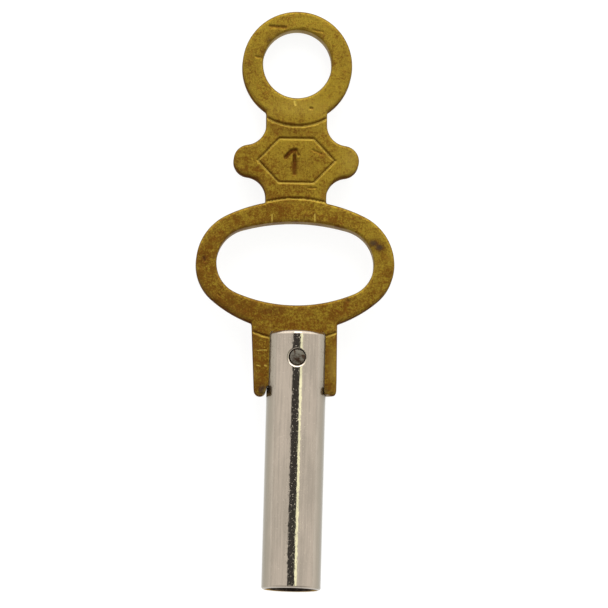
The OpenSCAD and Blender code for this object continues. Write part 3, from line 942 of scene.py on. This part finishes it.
def pin_mesh(s):
    """Points and faces of the pin: a profile of radius and height, turned round the pin's axis.

    Each end is a dome that falls by pin_dome (r / its rim)^2, and then a quarter round of pin_bevel.
    """
    r = np.linspace(0, PIN_R - s.pin_bevel, PIN_DOME_ROWS)
    dome = PIN_HALF - s.pin_dome * (r / r[-1]) ** 2
    bevel = np.linspace(0, QUARTER, PIN_BEVEL_ROWS)[1:]
    r = np.concatenate([r, PIN_R - s.pin_bevel * (1 - np.sin(bevel))])
    z = np.concatenate([dome, PIN_HALF - s.pin_dome - s.pin_bevel * (1 - np.cos(bevel))])
    r, z = np.concatenate([r, r[::-1]]), np.concatenate([z, -z[::-1]])
    theta = np.linspace(0, 2 * math.pi, PIN_SIDES, endpoint=False)
    patches = Patches()
    patches.add(ring_points(r[:, None], z[:, None], theta)[..., [0, 2, 1]], closed=True)
    points, quads = patches.arrays()
    return points + (AXIS_X, PIN_Y, AXIS_Z), quads


# Finishes

class Nodes:
    """The nodes of a material or a world, built up call by call."""

    def __init__(self, owner):
        owner.use_nodes = True
        self.tree = owner.node_tree

    def node(self, kind, values=(), **settings):
        """Adds a node; values are its inputs by name or number, each a number, a colour or a socket."""
        made = self.tree.nodes.new(kind)
        for key, value in settings.items():
            setattr(made, key, value)
        for key, value in dict(values).items():
            self.put(made.inputs[key], value)
        return made

    def put(self, socket, value):
        """Links a socket to the input, or sets its value; a colour is opaque."""
        if isinstance(value, bpy.types.NodeSocket):
            self.tree.links.new(value, socket)
        elif socket.type == "RGBA":
            socket.default_value = (*value, 1)
        else:
            socket.default_value = value

    def set(self, shader, **values):
        """Sets inputs of the shader of that name."""
        for key, value in values.items():
            self.put(self.tree.nodes[shader].inputs[key.replace("_", " ")], value)

    def math(self, operation, *values):
        """The result of Blender's math operation of that name."""
        return self.node("ShaderNodeMath", enumerate(values), operation=operation).outputs[0]

    def mix(self, share, a, b):
        """Colour a where share is nought and colour b where it is one."""
        return self.node("ShaderNodeMix", {0: share, 6: a, 7: b}, data_type="RGBA").outputs[2]

    def ramp(self, value, low, high, to_low=0, to_high=1):
        """value taken smoothly from the range low..high to the range to_low..to_high."""
        values = {0: value, 1: low, 2: high, 3: to_low, 4: to_high}
        return self.node("ShaderNodeMapRange", values, interpolation_type="SMOOTHSTEP").outputs[0]

    def step(self, value, middle, width):
        """Nought below middle and one above it, smoothly over the width."""
        return self.ramp(value, middle - width / 2, middle + width / 2)

    def seen(self):
        """One for rays from the camera, off gloss or through glass, and nought for the light."""
        rays = self.node("ShaderNodeLightPath").outputs
        gloss = self.math("MAXIMUM", rays["Is Camera Ray"], rays["Is Glossy Ray"])
        return self.math("MAXIMUM", gloss, rays["Is Transmission Ray"])


class Finish(Nodes):
    """A material, with noises and wear that follow the object."""

    def __init__(self, name):
        self.material = bpy.data.materials.new(name)
        super().__init__(self.material)

    @cached_property
    def place(self):
        """The place on the object, which all patterns follow."""
        return self.node("ShaderNodeTexCoord").outputs["Object"]

    def noise(self, per_mm, detail=4, stretch=(1, 1, 1), rough=0.55):
        """Noise of about per_mm features to the millimetre, longer along an axis with a low stretch."""
        scale = [k * per_mm / MM for k in stretch]
        scaled = self.node("ShaderNodeMapping", {"Vector": self.place, "Scale": scale})
        values = {"Vector": scaled.outputs[0], "Scale": 1, "Detail": detail, "Roughness": rough}
        return self.node("ShaderNodeTexNoise", values).outputs["Fac"]

    def along(self, axis):
        """The place along one of the object's axes, in millimetres."""
        split = self.node("ShaderNodeSeparateXYZ", {0: self.place}).outputs[axis]
        return self.math("DIVIDE", split, MM)

    def attribute(self, name):
        """Wear of that name, as the mesh holds it."""
        return self.node("ShaderNodeAttribute", attribute_name=name).outputs["Fac"]

    def bump(self, height, strength, distance_mm):
        """A normal that is tilted by the slope of the height, over that distance."""
        values = {"Strength": strength, "Distance": distance_mm * MM, "Height": height}
        return self.node("ShaderNodeBump", values).outputs["Normal"]

    def done(self, **values):
        """The material, with these inputs of its Principled shader set."""
        self.set("Principled BSDF", **values)
        return self.material


def aged_brass(c):
    """Handled brass: gold on the ring, browner by the pipe, mottled, with rubbed edges, sides darkened by
    tarnish and painted shade, and lines with dirt, painted shade and a painted highlight.
    """
    f = Finish("aged_brass")
    broad, blotch, speck = f.noise(0.3), f.noise(1.4, 6, rough=0.7), f.noise(8, rough=0.75)
    # Browner towards the pipe and to the left, in clouds of four sizes
    browning = f.math("MULTIPLY_ADD", f.along("X"), -0.03, f.ramp(f.along("Y"), -2, 17, 0.74, 0.1))
    for cloud, weight in ((broad, 1.4), (blotch, 2.4), (speck, 3.8), (f.noise(5, 4, (0.4, 1, 1)), 1.1)):
        browning = f.math("MULTIPLY_ADD", f.math("SUBTRACT", cloud, 0.5), weight, browning)
    tone = f.mix(f.ramp(browning, -0.1, 1.1), c.brass, c.patina)
    # Reddish and dark patches
    tone = f.mix(f.ramp(f.noise(2.3, 5, rough=0.7), 0.5, 0.72, 0, 0.5), tone, c.copper)
    tone = f.mix(f.ramp(f.noise(3.2, 5, rough=0.7), 0.55, 0.75, 0, 0.4), tone, c.stain_and_shade)
    tone = f.mix(f.ramp(f.noise(0.8, 3), 0.64, 0.78, 0, 0.4), tone, c.stain_and_shade)
    # Stains and painted shade, with soot where they are strongest, and rubbed places where they are
    # negative
    stain_and_shade, stippled = f.attribute("stain_and_shade"), f.ramp(speck, 0.3, 0.6, 0.5, 1)
    tone = f.mix(f.math("MULTIPLY", f.math("MAXIMUM", stain_and_shade, 0), stippled), tone, c.stain_and_shade)
    tone = f.mix(f.ramp(stain_and_shade, 0.5, 1, 0, 0.8), tone, c.soot)
    rubbed = f.math("MAXIMUM", f.math("MULTIPLY", stain_and_shade, -1.2), 0)
    tone = f.mix(f.math("MULTIPLY", rubbed, stippled), tone, c.rubbed)
    # Sides darkened by tarnish and painted shade, rubbed edges, shining scratches and painted highlights,
    # and lines with dirt and painted shade
    side = f.attribute("side")
    tone = f.mix(f.math("MULTIPLY", side, 0.5), tone, c.stain_and_shade)
    rub = f.math("MULTIPLY", f.attribute("rub"), f.ramp(f.noise(1.1), 0.35, 0.65, 0, 0.25))
    tone = f.mix(f.math("MAXIMUM", rub, f.attribute("shine_and_highlight")), tone, c.rubbed)
    dirt_and_shade = f.math("MULTIPLY", f.attribute("dirt_and_shade"), f.ramp(f.noise(4.5, 2), 0.35, 0.6, 0.7, 1))
    tone = f.mix(dirt_and_shade, tone, c.grime)
    rough = f.ramp(f.math("ADD", blotch, f.math("MULTIPLY", dirt_and_shade, 0.3)), 0.3, 0.8, 0.42, 0.6)
    grain = f.math("ADD", speck, f.noise(12, 2, (1, 0.15, 1)))
    # Patina tints the sides' reflections, which darkens their glint as painted shade
    return f.done(
        Base_Color=tone, Metallic=1, Roughness=rough, Normal=f.bump(grain, 0.6, 0.03),
        Specular_Tint=f.mix(side, (1, 1, 1), c.patina),
    )


def nickel_plate(c):
    """Polished nickel: fine streaks and pits, painted shade down the sides and in the mouth, hole and
    corners, and worn brass with a painted highlight at the rim.
    """
    f = Finish("nickel_plate")
    streak = f.noise(7, 3, (1, 0.03, 1))
    haze = f.noise(0.9, 5, (1, 0.3, 1), 0.65)
    ripple = f.noise(4.5, 1, (1, 0.8, 1), 0.4)
    pits, flecks = f.ramp(f.noise(9, 2), 0.7, 0.78), f.ramp(f.noise(8, 2), 0.64, 0.74)
    # Duller in streaks and hazes, and darker towards the sides as painted shade
    tone = f.mix(f.ramp(f.math("MULTIPLY_ADD", streak, 0.7, haze), 0.62, 1.1), c.nickel, c.nickel_worn)
    aside = f.math("ABSOLUTE", f.math("SUBTRACT", f.along("X"), AXIS_X / MM))
    tone = f.mix(f.ramp(aside, 0.64 * PIPE_R / MM, 0.98 * PIPE_R / MM), tone, c.nickel_painted_shade)
    # Pits, painted shade in the corners and worn brass as a painted highlight at the mouth
    tone = f.mix(f.math("MULTIPLY", pits, 0.5), tone, c.grime)
    dirt_and_shade = f.math("MULTIPLY", f.attribute("dirt_and_shade"), f.ramp(f.noise(2.5), 0.35, 0.6, 0.75, 1))
    bare_and_highlight = f.math("MULTIPLY", f.attribute("bare_and_highlight"), f.ramp(f.noise(1.2), 0.25, 0.5))
    tone = f.mix(bare_and_highlight, f.mix(dirt_and_shade, tone, c.soot), c.base_metal)
    rough = f.math("MULTIPLY_ADD", dirt_and_shade, 1.1, f.ramp(haze, 0.3, 0.75, 0.06, 0.13))
    height = f.math("SUBTRACT", f.math("MULTIPLY_ADD", streak, 0.15, ripple), pits)
    height = f.math("SUBTRACT", height, flecks)
    # Reflections take the soot of the painted shade and the brass of the painted highlight
    return f.done(
        Base_Color=tone, Metallic=1, Roughness=rough, Normal=f.bump(height, 0.5, 0.012),
        Specular_Tint=f.mix(bare_and_highlight, f.mix(dirt_and_shade, (1, 1, 1), c.soot), c.base_metal),
    )


def dull_steel(c):
    """Filed steel with patches of dirt."""
    f = Finish("dull_steel")
    tone = f.mix(f.ramp(f.noise(4), 0.4, 0.66), c.pin, c.pin_dark)
    file_marks = f.bump(f.noise(22, 2, (1, 0.08, 1)), 0.3, 0.01)
    rough = f.ramp(f.noise(3), 0.3, 0.7, 0.35, 0.55)
    return f.done(Base_Color=tone, Metallic=1, Roughness=rough, Normal=file_marks)


# Operators

class WINDINGKEY_OT_bow(Operator):
    """Build the stamped brass bow"""
    bl_idname = "winding_key.bow"
    bl_label = "Build bow"

    def execute(self, context):
        points, quads, triangles, wear_and_shade = bow_mesh(context.scene.key_bow)
        piece = new_piece("stamped_bow", points, quads, triangles, slot="bow_brass", node="bow", **wear_and_shade)
        smooth(piece.data, BOW_SHARP)
        piece.data.materials.append(aged_brass(context.scene.key_finish))
        return {"FINISHED"}


class WINDINGKEY_OT_pipe(Operator):
    """Build the slotted nickel pipe"""
    bl_idname = "winding_key.pipe"
    bl_label = "Build pipe"

    def execute(self, context):
        points, quads, dirt_and_shade, bare_and_highlight = pipe_mesh(context.scene.key_pipe)
        wear_and_shade = {"dirt_and_shade": dirt_and_shade, "bare_and_highlight": bare_and_highlight}
        piece = new_piece("slotted_pipe", points, quads, slot="pipe_nickel", node="pipe", **wear_and_shade)
        close_seams(piece, PIPE_SHARP)
        piece.data.materials.append(nickel_plate(context.scene.key_finish))
        return {"FINISHED"}


class WINDINGKEY_OT_pin(Operator):
    """Build the steel cross pin"""
    bl_idname = "winding_key.pin"
    bl_label = "Build pin"

    def execute(self, context):
        piece = new_piece("cross_pin", *pin_mesh(context.scene.key_pipe), slot="pin_steel", node="pin")
        close_seams(piece, PIN_SHARP)
        piece.data.materials.append(dull_steel(context.scene.key_finish))
        return {"FINISHED"}


def turned_camera(s):
    """The camera's own axes as rows: right, up and back."""
    tilt = Matrix.Rotation(-s.pitch, 3, "X") @ Matrix.Rotation(s.yaw, 3, "Y")
    return Matrix.Rotation(s.roll, 3, "Z") @ tilt


def add_camera(s):
    """A long lens at the photograph's viewing angle."""
    axes = turned_camera(s)
    data = bpy.data.cameras.new("camera")
    data.lens = s.lens * data.sensor_width
    distance = s.frame_w * s.lens
    aim = Vector((AXIS_X, 0, AXIS_Z))
    camera = add_object("camera", data)
    eye = aim + axes.transposed() @ Vector((s.aim_x, s.aim_y, distance))
    camera.matrix_world = Matrix.Translation(eye) @ axes.transposed().to_4x4()
    data.clip_start, data.clip_end = distance / 100, distance * 10
    bpy.context.scene.camera = camera


def add_floor():
    """A pale floor that the key rests on, with the end of the pipe and the rim of the ring."""
    rise = (BOW_LOW[2] - PIPE_LOW[2]) / (BOW_HIGH[1] - PIPE_HIGH[1])
    corners = np.array([(-1, -1), (1, -1), (1, 1), (-1, 1)]) * FLOOR_SPAN * PIPE_LENGTH
    heights = PIPE_LOW[2] + (corners[:, 1] - PIPE_HIGH[1]) * rise
    mesh = bpy.data.meshes.new("floor")
    mesh.from_pydata(np.column_stack([corners, heights]).tolist(), [], [(0, 1, 2, 3)])
    floor = add_object("floor", mesh)
    paper = Finish("white_paper")
    mesh.materials.append(paper.done(
        Base_Color=PAPER, Roughness=PAPER_ROUGH, Specular_IOR_Level=PAPER_SHEEN,
        Emission_Color=(1, 1, 1), Emission_Strength=paper.math("MULTIPLY", paper.seen(), PAPER_GLOW),
    ))


def add_tent(s):
    """A light tent: pale, brighter beyond the ring, with a dark gap overhead and a bright strip by it."""
    world = bpy.data.worlds.new("light_tent")
    bpy.context.scene.world = world
    tent = Nodes(world)
    place = tent.node("ShaderNodeTexCoord").outputs["Generated"]
    x, y, z = tent.node("ShaderNodeSeparateXYZ", {0: place}).outputs
    across = tent.math("ARCTAN2", x, z)
    overhead = tent.math("SUBTRACT", tent.step(y, *GAP_START), tent.step(y, *GAP_END))
    past_gap = tent.step(across, GAP_HIGH, TENT_BLUR)
    in_gap = tent.math("SUBTRACT", tent.step(across, GAP_LOW, TENT_BLUR), past_gap)
    in_gap = tent.math("MULTIPLY", in_gap, overhead)
    in_strip = tent.math("SUBTRACT", past_gap, tent.step(across, STRIP_HIGH, 2 * TENT_BLUR))
    in_strip = tent.math("MULTIPLY", in_strip, overhead)
    level = tent.math("MULTIPLY_ADD", tent.step(y, *TENT_FOOT), TOP_GAIN * s.tent, FOOT_LEVEL * s.tent)
    level = tent.math("MULTIPLY_ADD", tent.step(y, *TENT_FAR), s.far, level)
    level = tent.math("MULTIPLY_ADD", in_strip, s.strip - s.tent, level)
    dark = tent.math("MULTIPLY", in_gap, tent.math("SUBTRACT", level, s.gap))
    tint = tent.mix(in_strip, TENT_TINT, STRIP_TINT)
    tent.set("Background", Color=tint, Strength=tent.math("SUBTRACT", level, dark))


def add_key_lamp(s):
    """A soft lamp above the ring, which brightens the edges that face it."""
    data = bpy.data.lights.new("key_lamp", "AREA")
    data.size = LAMP_WIDTH * PIPE_LENGTH
    data.energy = s.key
    lamp = add_object("key_lamp", data)
    place = Vector(LAMP_PLACE) * PIPE_LENGTH
    lamp.matrix_world = Matrix.Translation(place) @ place.to_track_quat("Z", "Y").to_matrix().to_4x4()


class WINDINGKEY_OT_stage(Operator):
    """Set up the camera, the floor and the light"""
    bl_idname = "winding_key.stage"
    bl_label = "Set up stage"

    def execute(self, context):
        settings = context.scene.key_stage
        context.scene.view_settings.view_transform = "Standard"
        add_camera(settings)
        add_floor()
        add_tent(settings)
        add_key_lamp(settings)
        return {"FINISHED"}


class WINDINGKEY_PT_panel(Panel):
    """Lists the steps that build the key"""
    bl_idname = "WINDINGKEY_PT_panel"
    bl_label = "Winding key"
    bl_space_type = "VIEW_3D"
    bl_region_type = "UI"
    bl_category = "Winding key"

    def draw(self, context):
        for step in STEPS:
            self.layout.operator(step.bl_idname)


STEPS = (WINDINGKEY_OT_stage, WINDINGKEY_OT_bow, WINDINGKEY_OT_pipe, WINDINGKEY_OT_pin)
GROUPS = {"key_bow": BowSizes, "key_pipe": PipeSizes, "key_finish": Finishes, "key_stage": StageSettings}


def register():
    for made in (*GROUPS.values(), *STEPS, WINDINGKEY_PT_panel):
        bpy.utils.register_class(made)
    for name, group in GROUPS.items():
        setattr(bpy.types.Scene, name, PointerProperty(type=group))


def unregister():
    for name in GROUPS:
        delattr(bpy.types.Scene, name)
    for made in (WINDINGKEY_PT_panel, *reversed(STEPS), *reversed(GROUPS.values())):
        bpy.utils.unregister_class(made)


def main():
    register()
    bpy.ops.winding_key.stage()
    bpy.ops.winding_key.bow()
    bpy.ops.winding_key.pipe()
    bpy.ops.winding_key.pin()


if __name__ == "__main__":
    main()
